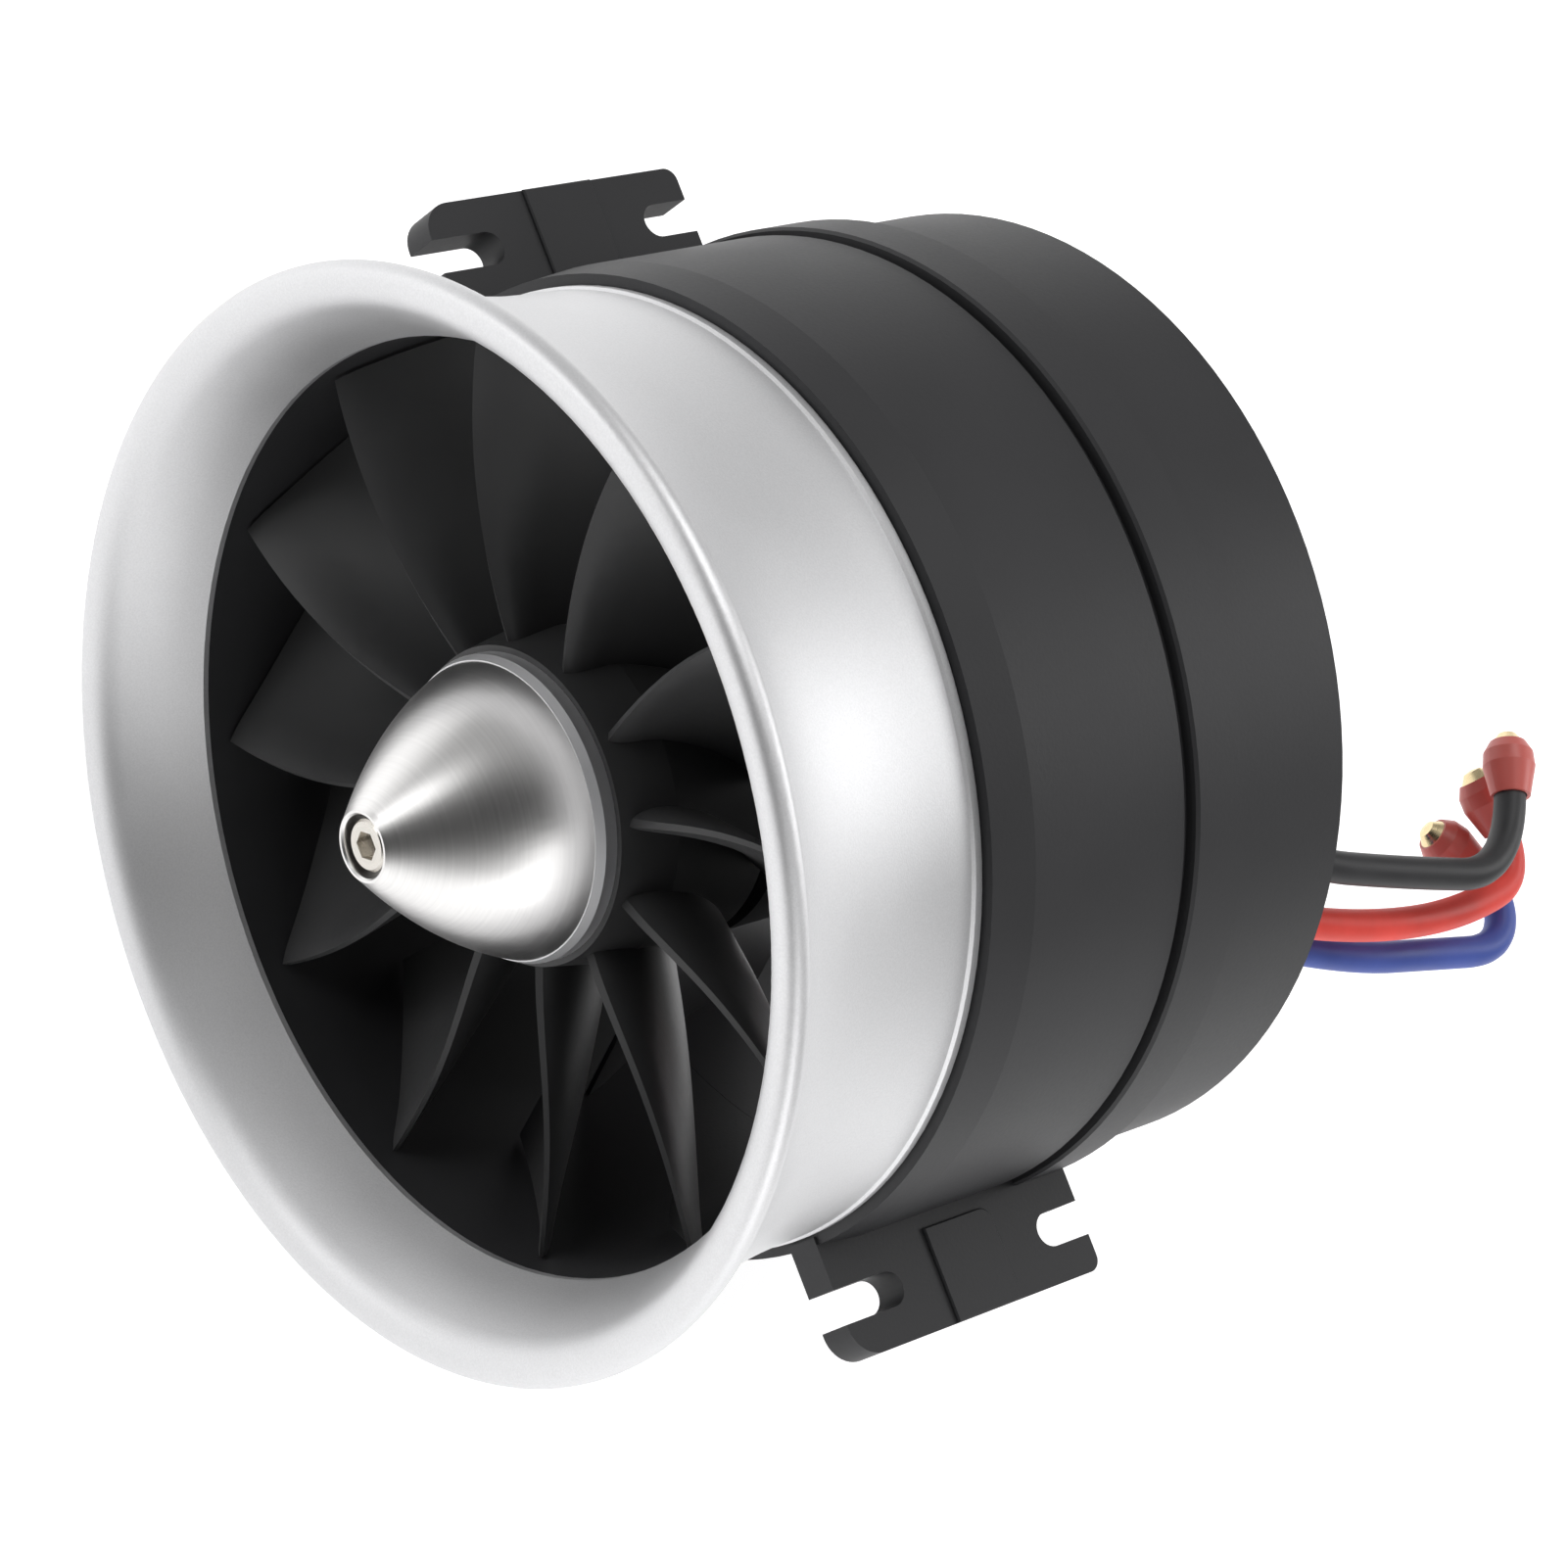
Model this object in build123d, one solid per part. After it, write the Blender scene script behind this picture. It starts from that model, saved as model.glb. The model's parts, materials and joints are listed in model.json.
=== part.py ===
from build123d import *
import math
import os

os.makedirs("parts", exist_ok=True)

# Electric ducted fan unit, 90 mm class. The rotor axis is Y: air goes in at -Y and out at +Y.
# The mounting ears point along X, Z is up. Sizes below count y from the middle of the four ear slots; save() puts
# the origin on the rotor axis, in the middle of the plain band behind the ears that the thrust tube slides over.

# ---- duct ----
BORE_R = 44.5            # inner wall of the duct
SLEEVE_R = 45.5          # thin front sleeve of the shroud, inside the lip
SLEEVE_Y = -34.9         # front end of that sleeve
FLANGE_Y = -16.9         # front face of the shroud's flange
FLANGE_R = 47.7
BEVEL_Y = -12.0
BODY_R = 48.2            # outside of the front half
SPLIT_Y = 8.4            # parting face between the two halves
RIDGE_R = 48.8
RIDGE_END_Y = 15.0
REAR_R = 47.5            # thrust tube seat
REAR_Y = 30.1            # rear edge
ORIGIN_Y = 22.5          # middle of the thrust tube seat, from the ears' end to the rear chamfer
SPIGOT_R = 46.0
SPIGOT_Y = 5.4

# ---- intake lip ----
LIP_REAR_R = 46.4
CREASE_R = 51.3
CREASE_Y = -42.3
LIP_OUT_R = 52.5
LIP_FRONT_Y = -45.1

# ---- ears ----
EAR_TOP_Z = 0.0
EAR_T = 4.0
EAR_OUT_X = 59.2
EAR_FRONT_Y = -17.2
EAR_REAR_Y = 15.2
SLOT_X = 53.9
SLOT_W = 3.46
SLOT_C_Y = 10.85         # centre of each slot's round end, front and rear

# The rotor, spinner, motor, its tube, the vanes and the tail cone count y from the motor's own zero plane,
# which lies this far behind the slots' middle.
MOTOR_Y = 4.4

# ---- rotor ----
HUB_R_FRONT = 15.3
HUB_R_REAR = 16.4
HUB_FRONT_Y = -36.5
HUB_REAR_Y = -19.4
BLADES = 12
TIP_R = 44.15
TIP_LE_DEG = 2.5         # angle of the leading edge's tip, +X towards +Z

# ---- spinner ----
PLATE_Y = -38.7
PLATE_FRONT_R = 14.3
PLATE_REAR_R = 14.7
TIP_Y = -54.3

# ---- motor and its tube ----
TUBE_R = 16.6
TUBE_BORE_R = 15.0
TUBE_FRONT_Y = -18.4
TUBE_REAR_Y = 20.0
BULKHEAD_T = 2.4
VANES = 7
SHAFT_R = 2.5
CAN_R = 14.3
SCREW_PCD = 19.0
LEAD_D = 3.5


def ring(*pts):
    """Solid of revolution about Y from (radius, y) points."""
    return revolve(make_face(Polyline(*pts, close=True)), Axis.Y, 360)


def ycyl(r, y0, y1, x=0.0, z=0.0):
    """Cylinder along Y."""
    return Location((x, y0, z), (-90, 0, 0)) * Cylinder(r, y1 - y0, align=(Align.CENTER, Align.CENTER, Align.MIN))


def turned(deg, shape):
    """Turned about Y by an angle measured from +X towards +Z."""
    return Rotation(0, -deg, 0) * shape


def box(x0, x1, y0, y1, z0, z1):
    return Pos((x0 + x1) / 2, (y0 + y1) / 2, (z0 + z1) / 2) * Box(x1 - x0, y1 - y0, z1 - z0)


def one(shape):
    """The single solid of a boolean result."""
    s = shape.solids()
    assert len(s) == 1, f"{len(s)} solids"
    return s[0]


def save(name, shape, dy=0.0):
    s = shape if isinstance(shape, (Solid, Compound)) else Compound(shape.solids())
    if len(s.solids()) == 1:
        s = s.solids()[0]
    assert s.is_valid, name
    s = Pos(0, dy - ORIGIN_Y, 0) * s
    s.label = name
    export_step(s, f"parts/{name}.step")
    print(f"{name:18s} solids {len(s.solids())} volume {s.volume:10.1f}")


# ================= intake lip =================
lip_edges = [
    Line((SLEEVE_R + 0.02, FLANGE_Y), (LIP_REAR_R, FLANGE_Y)),
    Line((LIP_REAR_R, FLANGE_Y), (LIP_REAR_R + 0.25, FLANGE_Y - 0.25)),
    Line((LIP_REAR_R + 0.25, FLANGE_Y - 0.25), (LIP_REAR_R + 0.25, FLANGE_Y - 1.0)),
    Line((LIP_REAR_R + 0.25, FLANGE_Y - 1.0), (LIP_REAR_R, FLANGE_Y - 1.3)),
    Spline([(LIP_REAR_R, FLANGE_Y - 1.3), (46.7, -25.0), (48.0, -33.5), (49.6, -38.9), (CREASE_R, CREASE_Y)]),
    Line((CREASE_R, CREASE_Y), (CREASE_R + 0.5, CREASE_Y - 0.1)),
    Spline([(CREASE_R + 0.5, CREASE_Y - 0.1), (52.35, -43.0), (LIP_OUT_R, -43.8), (52.0, -44.8), (50.8, LIP_FRONT_Y),
            (49.2, -44.5), (47.6, -42.4), (45.9, -39.0), (BORE_R, SLEEVE_Y - 0.6)]),
    Line((BORE_R, SLEEVE_Y - 0.6), (BORE_R, SLEEVE_Y)),
    Line((BORE_R, SLEEVE_Y), (SLEEVE_R + 0.02, SLEEVE_Y)),
    Line((SLEEVE_R + 0.02, SLEEVE_Y), (SLEEVE_R + 0.02, FLANGE_Y)),
]
intake_lip = one(revolve(make_face(lip_edges), Axis.Y, 360))
save("intake_lip", intake_lip)

# ================= ears =================
def ear_blank(y0, y1, slot_y, open_y, chamfer_y, corner_r):
    """Half an ear on the +X side with its slot, open at the end open_y."""
    b = box(46.6, EAR_OUT_X, y0, y1, EAR_TOP_Z - EAR_T, EAR_TOP_Z)
    corner = b.edges().filter_by(Axis.Z).filter_by(lambda e: e.center().X > EAR_OUT_X - 0.1 and abs(e.center().Y - chamfer_y) < 0.1)
    b = fillet(corner, corner_r)
    lo, hi = min(slot_y, open_y), max(slot_y, open_y)
    b -= box(SLOT_X - SLOT_W / 2, SLOT_X + SLOT_W / 2, lo, hi, EAR_TOP_Z - EAR_T - 1, EAR_TOP_Z + 1)
    b -= Pos(SLOT_X, slot_y, EAR_TOP_Z - EAR_T / 2) * Cylinder(SLOT_W / 2, EAR_T + 2)
    return b


front_ear = ear_blank(EAR_FRONT_Y, SPLIT_Y, -SLOT_C_Y, EAR_FRONT_Y - 1, EAR_FRONT_Y, 3.2)
pad = box(49.6, EAR_OUT_X, -4.5, 4.1, EAR_TOP_Z - 0.5, EAR_TOP_Z + 0.4)
pad = fillet(pad.edges().filter_by(Axis.Z).filter_by(lambda e: e.center().X < 50 and e.center().Y > 0), 1.4)
pad = chamfer(pad.faces().sort_by(Axis.Z)[-1].edges(), 0.15)
front_ear = front_ear + pad
rear_ear = ear_blank(SPLIT_Y, EAR_REAR_Y, SLOT_C_Y, EAR_REAR_Y + 1, EAR_REAR_Y, 1.4)

# ================= fan shroud, front half =================
shroud = ring((BORE_R, SLEEVE_Y), (SLEEVE_R, SLEEVE_Y), (SLEEVE_R, FLANGE_Y), (FLANGE_R, FLANGE_Y), (BODY_R, BEVEL_Y),
              (BODY_R, SPLIT_Y - 1.2), (BODY_R - 0.9, SPLIT_Y - 0.9), (BODY_R - 0.9, SPLIT_Y), (SPIGOT_R, SPLIT_Y),
              (SPIGOT_R, SPIGOT_Y), (BORE_R, SPIGOT_Y))
ear_cut = ycyl(46.9, -30, 30)
fe = front_ear - ear_cut
shroud = shroud + fe + (mirror(fe, Plane.YZ))
save("fan_shroud", one(shroud))

# ================= stator housing, rear half =================
housing = ring((BORE_R, SPIGOT_Y + 0.05), (SPIGOT_R - 0.03, SPIGOT_Y + 0.05), (SPIGOT_R - 0.03, SPLIT_Y), (RIDGE_R - 0.3, SPLIT_Y), (RIDGE_R, SPLIT_Y + 0.3),
               (RIDGE_R, RIDGE_END_Y - 0.3), (REAR_R, RIDGE_END_Y + 0.3), (REAR_R, REAR_Y - 0.4),
               (REAR_R - 0.4, REAR_Y), (46.1, REAR_Y), (45.4, 24.0), (BORE_R, 15.0))
re = rear_ear - ear_cut
housing = housing + re + (mirror(re, Plane.YZ))
tube = ring((SHAFT_R + 3.6, TUBE_FRONT_Y), (TUBE_R - 0.6, TUBE_FRONT_Y), (TUBE_R, TUBE_FRONT_Y + 0.8), (TUBE_R, TUBE_REAR_Y),
            (TUBE_BORE_R, TUBE_REAR_Y), (TUBE_BORE_R, TUBE_FRONT_Y + BULKHEAD_T), (SHAFT_R + 3.6, TUBE_FRONT_Y + BULKHEAD_T))
for k in range(4):
    a = math.radians(45 + 90 * k)
    tube -= ycyl(1.6, TUBE_FRONT_Y - 1, TUBE_FRONT_Y + BULKHEAD_T + 1, SCREW_PCD / 2 * math.cos(a), SCREW_PCD / 2 * math.sin(a))
# vane: cambered plate of constant section, run radially from the motor tube to the duct
VANE_Y0, VANE_Y1, VANE_T = -12.5, 16.5, 1.7


def vane_mid(f):
    """Tangential offset of the camber line at fraction f of its length: swirl taken out towards the rear."""
    return 7.5 * (1 - f) ** 2 - 2.0


left, right = [], []
for f in (0.0, 0.06, 0.25, 0.5, 0.75, 0.95, 1.0):
    y = VANE_Y0 + (VANE_Y1 - VANE_Y0) * f
    h = VANE_T / 2 * {0.0: 0.30, 0.06: 0.75, 0.25: 1.0, 0.5: 1.0, 0.75: 0.8, 0.95: 0.45, 1.0: 0.3}[f]
    left.append((vane_mid(f) - h, -y))
    right.append((vane_mid(f) + h, -y))
vane_face = make_face([Spline(left), Line(left[-1], right[-1]), Spline(right[::-1]), Line(right[0], left[0])])
vane_plane = Plane(origin=(0, 0, 0), x_dir=(0, 0, 1), z_dir=(1, 0, 0))
vane = extrude((Plane(origin=(15.3, 0, 0), x_dir=(0, 0, 1), z_dir=(1, 0, 0)) * vane_face), 45.4 - 15.3)
vane -= ring((BORE_R - 0.06, VANE_Y0 - 2), (60, VANE_Y0 - 2), (60, SPIGOT_Y - MOTOR_Y + 0.05), (BORE_R - 0.06, SPIGOT_Y - MOTOR_Y + 0.05))
vane = Pos(0, MOTOR_Y, 0) * vane
for k in range(VANES):
    housing += turned(90 + 360 / VANES * k, vane)
housing = housing + Pos(0, MOTOR_Y, 0) * tube
housing -= ycyl(TUBE_BORE_R, MOTOR_Y + TUBE_FRONT_Y + BULKHEAD_T, MOTOR_Y + TUBE_REAR_Y + 1)
save("stator_housing", one(housing))

# ================= rotor =================
hub = ring((5.0, HUB_FRONT_Y), (HUB_R_FRONT, HUB_FRONT_Y), (HUB_R_REAR, HUB_FRONT_Y + 6), (HUB_R_REAR, HUB_REAR_Y),
           (HUB_R_REAR - 1.8, HUB_REAR_Y), (HUB_R_REAR - 1.8, HUB_FRONT_Y + 3.6),
           (8.0, HUB_FRONT_Y + 3.0), (5.0, HUB_FRONT_Y + 3.0))
# blade sections: radius, leading edge y, leading edge angle from the tip's, trailing edge y, trailing edge tangential run, thickness, camber
SECTIONS = [
    (14.9, -35.4, 2.6, -20.6, 6.5, 2.3, 1.9),
    (20.0, -36.2, 3.8, -20.4, 9.6, 2.0, 2.0),
    (26.5, -36.7, 4.2, -20.8, 13.0, 1.7, 1.9),
    (34.0, -37.0, 3.0, -21.8, 16.6, 1.45, 1.7),
    (40.0, -37.1, 1.2, -22.8, 19.0, 1.25, 1.5),
    (45.6, -36.9, -0.6, -23.8, 20.8, 1.1, 1.3),
]
FR = (0.0, 0.05, 0.2, 0.45, 0.75, 1.0)
TH = (0.35, 0.75, 1.0, 0.95, 0.6, 0.25)


def blade_face(r, y_le, dang, y_te, run, th, camber):
    """Airfoil section on the plane at radius r whose middle faces outwards."""
    ang_le = math.radians(TIP_LE_DEG + dang)
    ang_mid = ang_le - run / 2 / r
    radial = (math.cos(ang_mid), 0, math.sin(ang_mid))
    tangential = (-math.sin(ang_mid), 0, math.cos(ang_mid))
    chord = math.hypot(run, y_te - y_le)
    ut = (-run / chord, (y_te - y_le) / chord)        # along the chord: (tangential, y)
    un = (ut[1], -ut[0])                              # across it
    up, lo = [], []
    for f, k in zip(FR, TH):
        c = camber * 4 * f * (1 - f)
        t = run / 2 + ut[0] * chord * f + un[0] * c
        y = y_le + ut[1] * chord * f + un[1] * c
        h = th / 2 * k
        up.append((t + un[0] * h, -(y + un[1] * h)))
        lo.append((t - un[0] * h, -(y - un[1] * h)))
    face = make_face([Spline(up), Line(up[-1], lo[-1]), Spline(lo[::-1]), Line(lo[0], up[0])])
    plane = Plane(origin=tuple(r * v for v in radial), x_dir=tangential, z_dir=radial)
    return plane * face


blade = loft([blade_face(*s) for s in SECTIONS])
blade = blade & ycyl(TIP_R, -45, -10)
blade = blade - ycyl(HUB_R_REAR - 1.0, -45, -10)
rotor = hub
for k in range(BLADES):
    rotor += turned(360 / BLADES * k, blade)
rotor = one(rotor)
save("rotor_fan", rotor, MOTOR_Y)

# adapter: clamps on the shaft behind the hub's web, its nose carries the plate and the cone
NOSE_R, NOSE_Y = 4.0, -44.0
adapter = ring((SHAFT_R, -36.0), (SHAFT_R, -26.5), (6.0, -26.5), (7.5, -28.0), (7.5, HUB_FRONT_Y + 3.0), (4.98, HUB_FRONT_Y + 3.0),
               (4.98, HUB_FRONT_Y), (NOSE_R, HUB_FRONT_Y), (NOSE_R, NOSE_Y), (1.5, NOSE_Y), (1.5, -36.0))
save("rotor_adapter", one(adapter), MOTOR_Y)

# ================= spinner =================
plate = ring((NOSE_R + 0.02, PLATE_Y), (PLATE_FRONT_R, PLATE_Y), (PLATE_REAR_R, PLATE_Y + 0.9), (PLATE_REAR_R, HUB_FRONT_Y),
             (NOSE_R + 0.02, HUB_FRONT_Y))
save("spinner_plate", one(plate), MOTOR_Y)

cone_edges = [
    Spline([(PLATE_FRONT_R - 0.1, PLATE_Y), (13.25, -41.0), (11.65, -44.0), (9.5, -47.2), (6.95, -50.4), (4.7, -52.9), (3.75, -53.9)]),
    Line((3.75, -53.9), (3.4, TIP_Y)),
    Line((3.4, TIP_Y), (3.15, TIP_Y)),
    Line((3.15, TIP_Y), (3.0, TIP_Y + 0.2)),
    Line((3.0, TIP_Y + 0.2), (3.0, -51.2)),
    Line((3.0, -51.2), (1.55, -51.2)),
    Line((1.55, -51.2), (1.55, NOSE_Y)),
    Line((1.55, NOSE_Y), (4.6, NOSE_Y)),
    Line((4.6, NOSE_Y), (6.0, -47.8)),
    Line((6.0, -47.8), (8.4, -46.4)),
    Line((8.4, -46.4), (10.6, -43.5)),
    Line((10.6, -43.5), (11.9, -40.5)),
    Line((11.9, -40.5), (12.3, PLATE_Y)),
    Line((12.3, PLATE_Y), (PLATE_FRONT_R - 0.1, PLATE_Y)),
]
save("spinner_cone", one(revolve(make_face(cone_edges), Axis.Y, 360)), MOTOR_Y)

screw = ring((0, -40.0), (1.5, -40.0), (1.5, -51.2), (2.5, -51.2), (2.5, -53.6), (2.25, -53.85), (0, -53.85))
screw -= Location((0, -53.85, 0), (-90, 0, 0)) * extrude(RegularPolygon(1.44, 6), 1.6)
save("spinner_screw", one(screw), MOTOR_Y)

# ================= motor =================
MF = TUBE_FRONT_Y + BULKHEAD_T            # motor front face
front_bell = ring((5.0, MF), (13.6, MF), (CAN_R, MF + 0.7), (CAN_R, MF + 3.4), (13.3, MF + 3.4), (13.3, MF + 4.6), (5.0, MF + 4.6))
for k in range(4):
    a = math.radians(45 + 90 * k)
    front_bell -= ycyl(1.5, MF - 1, MF + 4.0, SCREW_PCD / 2 * math.cos(a), SCREW_PCD / 2 * math.sin(a))
save("motor_front_bell", one(front_bell), MOTOR_Y)
can = ring((13.3, MF + 3.4), (CAN_R, MF + 3.4), (CAN_R, 13.0), (13.3, 13.0))
save("motor_can", one(can), MOTOR_Y)
rear_bell = ring((4.0, 12.0), (13.3, 12.0), (13.3, 13.0), (CAN_R, 13.0), (CAN_R, 15.4), (13.2, 16.6), (6.6, 16.6), (6.6, 17.0),
                 (1.6, 17.0), (1.6, 16.0), (4.0, 16.0))
LEAD_AT = [(6.8, 6.2), (9.3, -1.0), (6.6, -8.0)]     # (x, z) of the three lead holes: black, red, blue
for x, z in LEAD_AT:
    rear_bell -= ycyl(LEAD_D / 2, 15.0, 20.0, x, z)
save("motor_rear_bell", one(rear_bell), MOTOR_Y)
RUN = 0.03               # radial running clearance
bearing = ring((SHAFT_R + RUN, 0), (5.0, 0), (5.0, 4.0), (SHAFT_R + RUN, 4.0))
save("front_bearing", Pos(0, MF + 0.3, 0) * bearing, MOTOR_Y)
save("rear_bearing", ring((SHAFT_R + RUN, 12.2), (4.0, 12.2), (4.0, 15.2), (SHAFT_R + RUN, 15.2)), MOTOR_Y)
save("motor_shaft", ring((0, -35.6), (SHAFT_R - 0.3, -35.6), (SHAFT_R, -35.3), (SHAFT_R, 15.3), (SHAFT_R - 0.3, 15.6), (0, 15.6)), MOTOR_Y)
save("rotor_magnet", ring((SHAFT_R, -8.0), (6.6, -8.0), (6.6, 9.0), (SHAFT_R, 9.0)), MOTOR_Y)

core = ring((7.2, -7.0), (13.3, -7.0), (13.3, 8.0), (7.2, 8.0))
wedge = extrude(make_face(Polyline((0, 0), (20, -4.4), (20, 4.4), close=True)), 15, both=True)
wedge = Location((0, 0, 0), (90, 0, 0)) * wedge
wind = ring((8.2, -9.6), (12.3, -9.6), (12.3, -7.02), (8.2, -7.02)) + ring((8.2, 8.02), (12.3, 8.02), (12.3, 10.6), (8.2, 10.6))
inner = one(ring((8.5, -7.3), (12.1, -7.3), (12.1, 8.3), (8.5, 8.3)) & wedge)
print('coil side', inner.volume)
core_cut = one(ring((8.45, -7.5), (12.15, -7.5), (12.15, 8.5), (8.45, 8.5)) & wedge)
for k in range(6):
    core -= turned(60 * k, core_cut)
    wind += turned(60 * k, inner)
save("stator_core", one(core), MOTOR_Y)
save("stator_windings", one(wind), MOTOR_Y)

screws = []
for k in range(4):
    a = math.radians(45 + 90 * k)
    x, z = SCREW_PCD / 2 * math.cos(a), SCREW_PCD / 2 * math.sin(a)
    s = ycyl(1.5, TUBE_FRONT_Y, MF + 3.8, x, z) + ycyl(2.75, TUBE_FRONT_Y - 2.4, TUBE_FRONT_Y, x, z)
    s -= Location((x, TUBE_FRONT_Y - 2.4, z), (-90, 0, 0)) * extrude(RegularPolygon(1.44, 6), 1.3)
    screws.append(one(s))
save("motor_screws", Compound(screws), MOTOR_Y)

# ================= tail cone =================
tail_edges = [
    Line((TUBE_BORE_R - 1.0, TUBE_REAR_Y - 2.6), (TUBE_BORE_R, TUBE_REAR_Y - 2.6)),
    Line((TUBE_BORE_R, TUBE_REAR_Y - 2.6), (TUBE_BORE_R, TUBE_REAR_Y)),
    Line((TUBE_BORE_R, TUBE_REAR_Y), (TUBE_R, TUBE_REAR_Y)),
    Spline([(TUBE_R, TUBE_REAR_Y), (15.8, 26.0), (12.4, 33.5), (6.6, 39.6), (0, 42.0)], tangents=[(0, 1), (-1, 0)]),
    Line((0, 42.0), (0, 40.8)),
    Spline([(0, 40.8), (6.0, 38.5), (11.4, 32.8), (14.5, 26.0), (TUBE_BORE_R - 0.2, TUBE_REAR_Y + 2.0)]),
    Line((TUBE_BORE_R - 0.2, TUBE_REAR_Y + 2.0), (TUBE_BORE_R - 1.0, TUBE_REAR_Y)),
    Line((TUBE_BORE_R - 1.0, TUBE_REAR_Y), (TUBE_BORE_R - 1.0, TUBE_REAR_Y - 2.6)),
]
tail = revolve(make_face(tail_edges), Axis.Y, 360)
tail -= box(3.0, 20.0, 21.5, 45.0, -11.5, 10.5)      # notch that lets the leads out
save("tail_cone", one(tail), MOTOR_Y)

# ================= leads =================
def route_wire(pts, name):
    """Straight runs joined by tangent arcs whose radius is 0.45 of the shorter run over the tangent of half the turn."""
    v = [Vector(*p) for p in pts]
    radii = []
    for a, b, c in zip(v, v[1:], v[2:]):
        r1, r2 = (b - a), (c - b)
        turn = math.acos(max(-1, min(1, r1.dot(r2) / r1.length / r2.length)))
        assert turn <= math.radians(90.5), (name, math.degrees(turn))
        radii.append(0.45 * min(r1.length, r2.length) / math.tan(turn / 2))
    runs = [(b - a).length for a, b in zip(v, v[1:])]
    print(name, "runs", [round(x, 1) for x in runs], "radii", [round(x, 1) for x in radii])
    return FilletPolyline(*v, radius=radii)


LEADS = {
    "black": [(6.8, 19.4, 6.2), (6.8, 28.4, 6.2), (15.0, 42.0, 5.9), (27.6, 54.5, 6.1), (32.2, 69.5, 6.4), (36.1, 85.2, 6.5), (25.5, 90.4, 6.5)],
    "red": [(9.3, 19.4, -1.0), (9.3, 28.9, -1.0), (18.5, 43.2, -0.7), (31.8, 54.6, -0.2), (36.2, 68.6, 0.1), (37.7, 82.0, 0.0), (35.9, 94.1, 0.0), (27.9, 92.9, 0.0)],
    "blue": [(6.6, 19.4, -8.0), (6.6, 29.4, -8.0), (17.6, 43.8, -7.2), (32.4, 55.5, -5.8), (38.3, 69.5, -5.1), (40.6, 81.2, -5.0), (42.5, 91.2, -5.0), (36.2, 94.9, -5.0), (30.9, 90.4, -5.0)],
}
for name, pts in LEADS.items():
    wire = route_wire(pts, name)
    start = Plane(origin=wire @ 0, z_dir=wire % 0)
    lead = sweep(start * Circle(LEAD_D / 2), path=wire)
    lead = one(lead)
    print(name, "length", round(wire.length, 1), "tube", round(lead.volume, 1), "section x length", round(math.pi * LEAD_D ** 2 / 4 * wire.length, 1))
    save(f"lead_{name}", lead)
    end, d = wire @ 1, wire % 1
    p = Plane(origin=end, z_dir=d)
    # gold bullet: socket over nothing, solid pin from the lead's end, its tip out of the cap
    bullet = revolve(Plane(origin=end, x_dir=p.x_dir, z_dir=p.x_dir.cross(d)) * make_face(
        Polyline((0, 0), (1.75, 0), (1.75, 3.6), (1.0, 4.6), (0, 4.8), close=True)), Axis(end, d), 360)
    save(f"bullet_{name}", one(bullet))
    cap = revolve(Plane(origin=end, x_dir=p.x_dir, z_dir=p.x_dir.cross(d)) * make_face(
        Polyline((1.77, -2.6), (2.15, -2.6), (2.5, -0.9), (2.85, 0.8), (2.7, 2.4), (2.0, 3.6), (1.77, 3.6), close=True)), Axis(end, d), 360)
    save(f"sleeve_{name}", one(cap))
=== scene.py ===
import bpy, bmesh, json, math
from mathutils import Vector, Matrix


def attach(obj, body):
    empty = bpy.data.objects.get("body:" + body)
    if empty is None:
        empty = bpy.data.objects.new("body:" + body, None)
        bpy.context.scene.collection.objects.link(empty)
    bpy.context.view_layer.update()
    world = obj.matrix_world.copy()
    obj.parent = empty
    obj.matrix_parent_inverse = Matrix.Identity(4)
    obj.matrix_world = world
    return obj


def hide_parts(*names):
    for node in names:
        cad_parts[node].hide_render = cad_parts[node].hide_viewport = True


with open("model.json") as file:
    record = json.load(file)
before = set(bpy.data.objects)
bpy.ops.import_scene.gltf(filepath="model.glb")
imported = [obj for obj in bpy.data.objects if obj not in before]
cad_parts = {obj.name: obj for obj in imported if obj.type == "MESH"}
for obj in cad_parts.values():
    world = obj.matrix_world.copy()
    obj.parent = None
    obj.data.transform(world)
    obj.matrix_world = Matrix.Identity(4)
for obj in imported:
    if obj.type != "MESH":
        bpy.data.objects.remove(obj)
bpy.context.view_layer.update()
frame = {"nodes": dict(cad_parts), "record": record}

nodes = frame["nodes"]
OY = -22.5          # the sizes below count y in mm from the middle of the ear slots; the row's origin is 22.5 mm behind it


def P(x, y, z):
    """Millimetres from the ear slots' middle to metres in the row frame."""
    return Vector((x, y + OY, z)) / 1000.0


# ------------------------------------------------------------------ camera
cam_data = bpy.data.cameras.new("camera")
cam_data.sensor_width = 36.0
cam_data.sensor_fit = "HORIZONTAL"
cam_data.lens = 36.0 * 4804 / 1601
cam_data.clip_start, cam_data.clip_end = 0.02, 20.0
cam = bpy.data.objects.new("camera", cam_data)
bpy.context.scene.collection.objects.link(cam)
right, up, back = Vector((0.357828, 0.739033, 0.570779)), Vector((-0.925983, 0.201969, 0.319004)), Vector((0.120475, -0.642681, 0.756602))
m = Matrix((right, up, back)).transposed().to_4x4()
m.translation = Vector((0.059696, -0.316748, 0.345861))
cam.matrix_world = m
bpy.context.scene.camera = cam
bpy.context.scene.view_settings.view_transform = "Standard"


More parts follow.
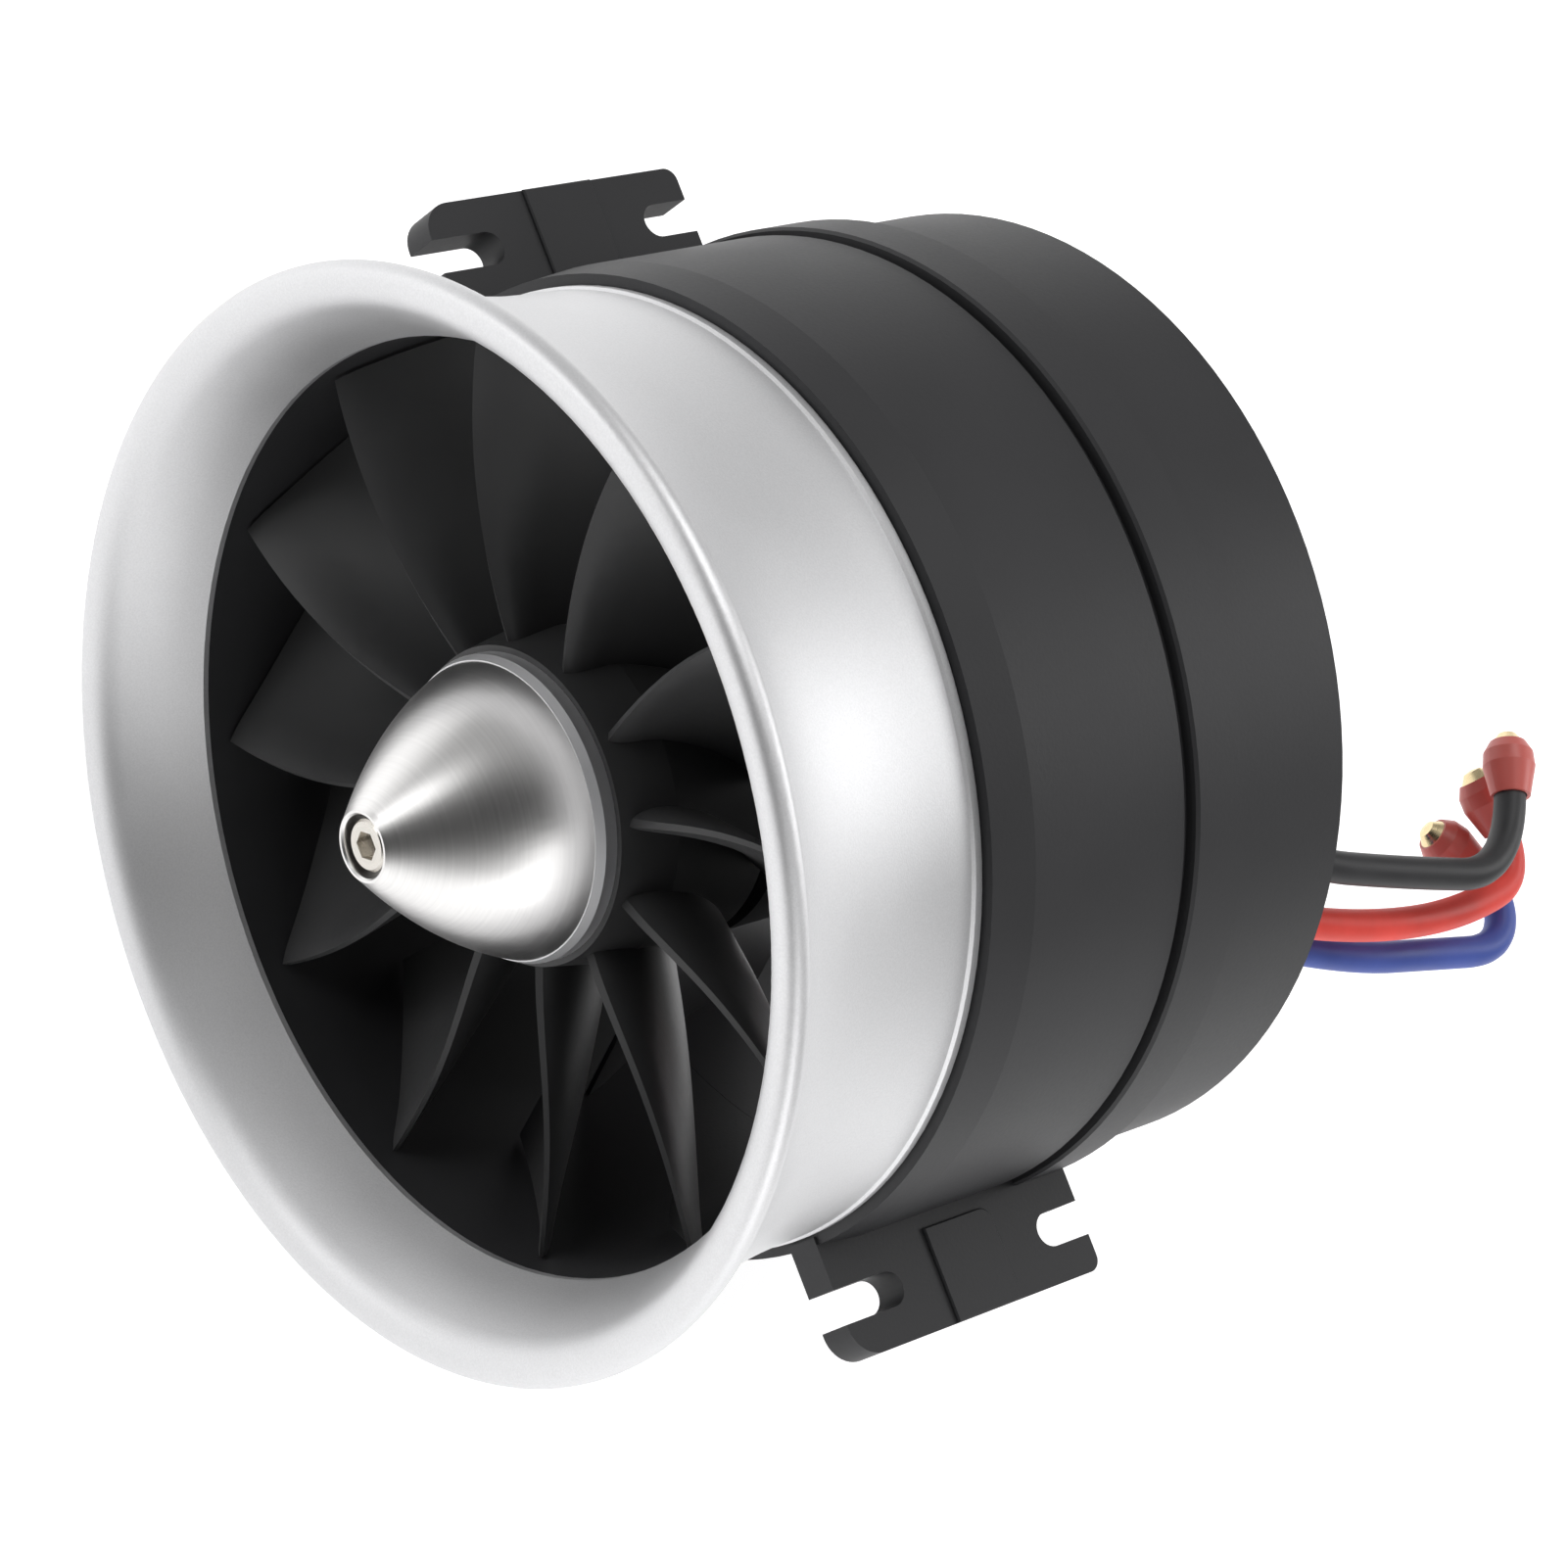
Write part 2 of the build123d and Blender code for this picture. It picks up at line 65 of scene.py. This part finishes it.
# ------------------------------------------------------------------ material helpers
class Mat:
    """A node material with short names for the nodes this scene needs."""

    def __init__(self, name):
        self.m = bpy.data.materials.new(name)
        self.m.use_nodes = True
        self.t = self.m.node_tree
        self.b = self.t.nodes["Principled BSDF"]
        self.obj = self.n("ShaderNodeTexCoord").outputs["Object"]

    def n(self, kind, **props):
        node = self.t.nodes.new(kind)
        for k, v in props.items():
            setattr(node, k, v)
        return node

    def set(self, **vals):
        for k, v in vals.items():
            self.b.inputs[k.replace("_", " ")].default_value = v
        return self

    def link(self, a, b):
        self.t.links.new(a, b)

    def noise(self, scale, detail=3.0, rough=0.5, coord=None, distortion=0.0):
        n = self.n("ShaderNodeTexNoise")
        n.inputs["Scale"].default_value = scale
        n.inputs["Detail"].default_value = detail
        n.inputs["Roughness"].default_value = rough
        n.inputs["Distortion"].default_value = distortion
        self.link(coord if coord is not None else self.obj, n.inputs["Vector"])
        return n.outputs["Fac"]

    def ramp(self, fac, stops):
        r = self.n("ShaderNodeValToRGB")
        while len(r.color_ramp.elements) < len(stops):
            r.color_ramp.elements.new(0.5)
        for e, (p, c) in zip(r.color_ramp.elements, stops):
            e.position = p
            e.color = c if len(c) == 4 else (*c, 1)
        self.link(fac, r.inputs["Fac"])
        return r.outputs["Color"]

    def maprange(self, fac, a, b, lo, hi):
        r = self.n("ShaderNodeMapRange")
        for k, v in (("From Min", a), ("From Max", b), ("To Min", lo), ("To Max", hi)):
            r.inputs[k].default_value = v
        self.link(fac, r.inputs["Value"])
        return r.outputs["Result"]

    def math(self, op, a, b=None, c=None):
        n = self.n("ShaderNodeMath", operation=op)
        for i, v in enumerate((a, b, c)):
            if v is None:
                continue
            if isinstance(v, (int, float)):
                n.inputs[i].default_value = v
            else:
                self.link(v, n.inputs[i])
        return n.outputs[0]

    def mix(self, fac, a, b):
        n = self.n("ShaderNodeMix", data_type="RGBA")
        for i, v in ((0, fac), (6, a), (7, b)):
            if isinstance(v, (int, float)):
                n.inputs[i].default_value = v
            elif isinstance(v, tuple):
                n.inputs[i].default_value = v if len(v) == 4 else (*v, 1)
            else:
                self.link(v, n.inputs[i])
        return n.outputs[2]

    def sep(self, coord=None):
        s = self.n("ShaderNodeSeparateXYZ")
        self.link(coord if coord is not None else self.obj, s.inputs[0])
        return s.outputs

    def bump(self, height, strength, distance):
        b = self.n("ShaderNodeBump")
        b.inputs["Strength"].default_value = strength
        b.inputs["Distance"].default_value = distance
        self.link(height, b.inputs["Height"])
        if self.b.inputs["Normal"].is_linked:
            self.link(self.b.inputs["Normal"].links[0].from_socket, b.inputs["Normal"])
        self.link(b.outputs["Normal"], self.b.inputs["Normal"])
        return self

    def col(self, socket):
        self.link(socket, self.b.inputs["Base Color"])
        return self

    def rough(self, socket):
        self.link(socket, self.b.inputs["Roughness"])
        return self


def shade(c, k):
    return tuple(v * k for v in c)


def moulded(name, base, r0, r1, grain=2600, bump=0.25, dist=0.00004, spec=0.5):
    """Moulded plastic: fine spark-eroded grain, faint cloudiness in colour and gloss."""
    m = Mat(name)
    m.set(Specular_IOR_Level=spec)
    cloud = m.noise(45, 4)
    fine = m.noise(grain, 2)
    m.col(m.mix(m.maprange(cloud, 0.3, 0.7, 0, 1), shade(base, 0.86), shade(base, 1.14)))
    m.rough(m.maprange(m.math("ADD", m.math("MULTIPLY", cloud, 0.7), m.math("MULTIPLY", fine, 0.3)), 0.3, 0.7, r0, r1))
    m.bump(fine, bump, dist)
    return m


def turned_metal(name, base, r0, r1, lines=9000, strength=0.08, metallic=1.0, aniso=0.0):
    """Metal turned on a lathe: fine rings about the rotor axis."""
    m = Mat(name)
    m.set(Metallic=metallic)
    s = m.sep()
    rad = m.math("SQRT", m.math("ADD", m.math("MULTIPLY", s[0], s[0]), m.math("MULTIPLY", s[2], s[2])))
    path = m.math("ADD", rad, m.math("MULTIPLY", s[1], 0.8))
    ring = m.math("SINE", m.math("MULTIPLY", path, lines))
    wob = m.noise(160, 3)
    comb = m.n("ShaderNodeCombineXYZ")
    m.link(m.math("MULTIPLY", path, 2600.0), comb.inputs[0])
    streak = m.noise(1.0, 4, coord=comb.outputs[0])
    m.col(m.mix(m.maprange(streak, 0.3, 0.7, 0, 1), shade(base, 0.93), shade(base, 1.04)))
    m.rough(m.maprange(m.math("ADD", m.math("MULTIPLY", streak, 0.6), m.math("MULTIPLY", wob, 0.4)), 0.3, 0.7, r0, r1))
    m.bump(m.math("ADD", m.math("MULTIPLY", ring, 0.3), streak), strength, 0.00002)
    if aniso:
        m.set(Anisotropic=aniso)
        tan = m.n("ShaderNodeTangent", direction_type="RADIAL", axis="Y")
        m.link(tan.outputs["Tangent"], m.b.inputs["Tangent"])
    return m


def blasted(name, base, r0, r1, metallic=1.0, grain=5200, bump=0.18):
    """Bead-blasted and clear-anodised aluminium: fine even sparkle, faint blotches."""
    m = Mat(name)
    m.set(Metallic=metallic)
    cloud, fine = m.noise(38, 3), m.noise(grain, 2, 0.6)
    m.col(m.mix(m.maprange(m.math("ADD", m.math("MULTIPLY", cloud, 0.5), m.math("MULTIPLY", fine, 0.5)), 0.35, 0.65, 0, 1), shade(base, 0.93), shade(base, 1.05)))
    m.rough(m.maprange(cloud, 0.3, 0.7, r0, r1))
    m.bump(fine, bump, 0.00003)
    return m


def silicone(name, base, r0=0.42, r1=0.56):
    """Silicone wire sleeve: soft, slightly dusty."""
    m = Mat(name)
    m.set(Specular_IOR_Level=0.4)
    cloud, fine = m.noise(120, 4), m.noise(1800, 3)
    m.col(m.mix(m.maprange(cloud, 0.3, 0.7, 0, 1), shade(base, 0.85), tuple(min(1, v * 1.12 + 0.01) for v in base)))
    m.rough(m.maprange(cloud, 0.3, 0.7, r0, r1))
    m.bump(m.math("ADD", fine, m.math("MULTIPLY", cloud, 1.5)), 0.15, 0.00006)
    return m


M = {
    "lip_silver": blasted("lip_silver", (0.76, 0.76, 0.77), 0.48, 0.56, bump=0.3),
    "shroud_black": moulded("shroud_black", (0.028, 0.028, 0.030), 0.46, 0.56, spec=0.36),
    "blade_black": moulded("blade_black", (0.044, 0.044, 0.045), 0.36, 0.46, grain=1800, bump=0.15, spec=0.34),
    "adapter_metal": turned_metal("adapter_metal", (0.78, 0.78, 0.79), 0.25, 0.35),
    "plate_grey": turned_metal("plate_grey", (0.74, 0.74, 0.75), 0.50, 0.60),
    "spinner_metal": turned_metal("spinner_metal", (0.86, 0.85, 0.84), 0.28, 0.34, strength=0.03, aniso=0.35),
    "screw_metal": turned_metal("screw_metal", (0.72, 0.69, 0.64), 0.20, 0.32),
    "motor_metal": turned_metal("motor_metal", (0.62, 0.62, 0.64), 0.28, 0.38),
    "can_metal": moulded("can_metal", (0.03, 0.03, 0.035), 0.30, 0.40, grain=4000, bump=0.1),
    "steel": turned_metal("steel", (0.7, 0.7, 0.7), 0.2, 0.3),
    "magnet_metal": turned_metal("magnet_metal", (0.45, 0.45, 0.47), 0.3, 0.4),
    "core_steel": turned_metal("core_steel", (0.25, 0.25, 0.26), 0.4, 0.5, lines=20000),
    "copper": turned_metal("copper", (0.72, 0.40, 0.22), 0.3, 0.4, lines=15000),
    "silicone_black": silicone("silicone_black", (0.026, 0.026, 0.028)),
    "silicone_red": silicone("silicone_red", (0.84, 0.065, 0.047)),
    "silicone_blue": silicone("silicone_blue", (0.055, 0.10, 0.42)),
    "gold": turned_metal("gold", (0.86, 0.70, 0.42), 0.22, 0.32),
    "shrink_red": moulded("shrink_red", (0.58, 0.12, 0.10), 0.28, 0.4, grain=900, bump=0.2, dist=0.00008),
}
slot_of = {s["node"]: s["material_slot"] for s in frame["record"]["subparts"]}
for name, obj in nodes.items():
    obj.data.materials.clear()
    obj.data.materials.append(M[slot_of[name]].m)

# ------------------------------------------------------------------ leads
ROUTES = {
    "black": [(6.8, 19.4, 6.2), (6.8, 28.4, 6.2), (15.0, 42.0, 5.9), (27.6, 54.5, 6.1), (32.2, 69.5, 6.4), (36.1, 85.2, 6.5), (25.5, 90.4, 6.5)],
    "red": [(9.3, 19.4, -1.0), (9.3, 28.9, -1.0), (18.5, 43.2, -0.7), (31.8, 54.6, -0.2), (36.2, 68.6, 0.1), (37.7, 82.0, 0.0), (35.9, 94.1, 0.0), (27.9, 92.9, 0.0)],
    "blue": [(6.6, 19.4, -8.0), (6.6, 29.4, -8.0), (17.6, 43.8, -7.2), (32.4, 55.5, -5.8), (38.3, 69.5, -5.1), (40.6, 81.2, -5.0), (42.5, 91.2, -5.0), (36.2, 94.9, -5.0), (30.9, 90.4, -5.0)],
}
LEAD_D = 0.0035
for colour, pts in ROUTES.items():
    cu = bpy.data.curves.new(f"wire_{colour}", "CURVE")
    cu.dimensions = "3D"
    sp = cu.splines.new("NURBS")
    sp.points.add(len(pts) - 1)
    for p, q in zip(sp.points, pts):
        p.co = (*P(*q), 1)
    sp.order_u = 3
    sp.use_endpoint_u = True
    sp.resolution_u = 16
    cu.bevel_depth = LEAD_D / 2
    cu.bevel_resolution = 8
    cu.use_fill_caps = True
    ob = bpy.data.objects.new(f"wire_{colour}", cu)
    bpy.context.scene.collection.objects.link(ob)
    ob.data.materials.append(M[f"silicone_{colour}"].m)
    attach(ob, "duct")
    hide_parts(f"lead_{colour}")

# ------------------------------------------------------------------ floor and light
floor_mesh = bpy.data.meshes.new("floor")
floor_mesh.from_pydata([(-3, -3, -0.0545), (3, -3, -0.0545), (3, 3, -0.0545), (-3, 3, -0.0545)], [], [(0, 1, 2, 3)])
floor = bpy.data.objects.new("floor", floor_mesh)
bpy.context.scene.collection.objects.link(floor)
fm = Mat("floor")
fm.col(fm.mix(fm.noise(3.0, 2), (0.86, 0.86, 0.86), (0.9, 0.9, 0.9)))
fm.set(Roughness=0.9, Specular_IOR_Level=0.1, Emission_Color=(1, 1, 1, 1), Emission_Strength=0.62)
floor.data.materials.append(fm.m)

world = bpy.data.worlds.new("world")
bpy.context.scene.world = world
world.use_nodes = True
wt = world.node_tree
bg = wt.nodes["Background"]
bg.inputs[1].default_value = 0.34
wc = wt.nodes.new("ShaderNodeTexCoord")
ws = wt.nodes.new("ShaderNodeSeparateXYZ")
wr = wt.nodes.new("ShaderNodeValToRGB")
wt.links.new(wc.outputs["Generated"], ws.inputs[0])
wt.links.new(ws.outputs[2], wr.inputs["Fac"])
wd = wt.nodes.new("ShaderNodeVectorMath")
wd.operation = "DOT_PRODUCT"
wt.links.new(wc.outputs["Generated"], wd.inputs[0])
wd.inputs[1].default_value = (0.16, -0.70, 0.70)      # the unlit side of the studio
wk = wt.nodes.new("ShaderNodeValToRGB")
wt.links.new(wd.outputs["Value"], wk.inputs["Fac"])
for e, (p, v) in zip(wk.color_ramp.elements, ((0.72, 1.0), (0.93, 0.06))):
    e.position = p
    e.color = (v, v, v, 1)
wm = wt.nodes.new("ShaderNodeVectorMath")
wm.operation = "MULTIPLY"
wt.links.new(wr.outputs["Color"], wm.inputs[0])
wt.links.new(wk.outputs["Color"], wm.inputs[1])
wt.links.new(wm.outputs[0], bg.inputs[0])
while len(wr.color_ramp.elements) < 4:
    wr.color_ramp.elements.new(0.5)
for e, (p, v) in zip(wr.color_ramp.elements, ((0.0, 2.7), (0.10, 2.7), (0.22, 0.9), (0.60, 1.0))):
    e.position = p
    e.color = (v, v, v, 1)


def area(name, at, to, size, power, size_y=None):
    d = bpy.data.lights.new(name, "AREA")
    d.energy = power
    d.size = size
    if size_y:
        d.shape = "RECTANGLE"
        d.size_y = size_y
    o = bpy.data.objects.new(name, d)
    bpy.context.scene.collection.objects.link(o)
    o.location = at
    o.rotation_euler = (Vector(to) - Vector(at)).to_track_quat("-Z", "Y").to_euler()
    return o


area("key", (-0.35, 0.10, 0.85), (0, -0.02, 0), 0.5, 2.5)
area("side", (0.85, -0.20, 0.35), (0, -0.02, 0), 0.45, 2.2, 0.9)
area("front", (-0.55, -0.75, 0.25), (0, -0.05, 0), 0.3, 1.5, 0.8)
area("rear", (0.15, 0.7, 0.5), (0, 0, 0), 0.4, 1.8)
